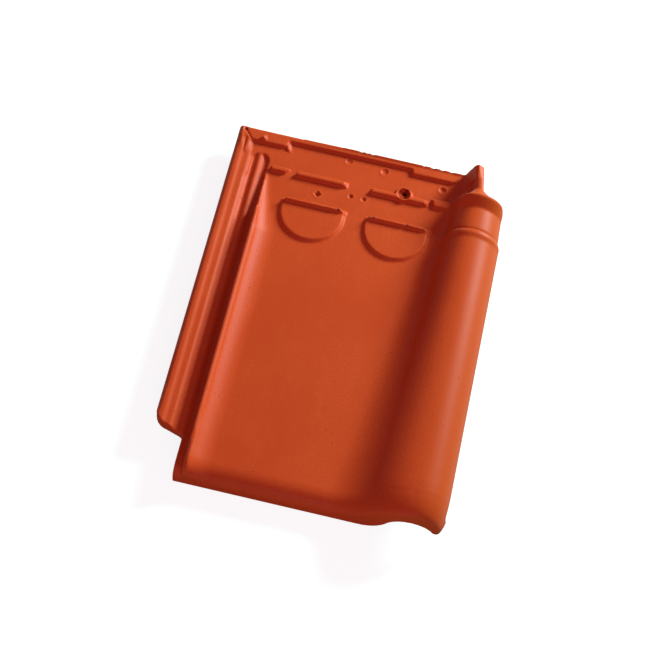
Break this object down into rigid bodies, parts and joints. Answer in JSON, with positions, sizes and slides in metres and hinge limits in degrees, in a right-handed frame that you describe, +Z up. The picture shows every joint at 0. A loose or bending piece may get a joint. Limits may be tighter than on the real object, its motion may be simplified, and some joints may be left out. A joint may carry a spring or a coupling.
{
  "type": "interlocking clay roof tile",
  "caption": "Interlocking pressed clay roof tile with a wide flat pan, a side lock with a channel, a round roll, head ribs, a nail hole and hanging lugs.",
  "frame": {"origin": "centre of the bounding box, at the level of the floor the tile rests on", "axes": "+X from the side lock to the roll, +Y from the nose to the head, +Z up"},
  "size_m": [0.2594, 0.355, 0.0537],
  "materials": {
    "fired_clay": "matte"
  },
  "bodies": {
    "root": {"roof_tile": "fired_clay"}
  },
  "joints": []
}
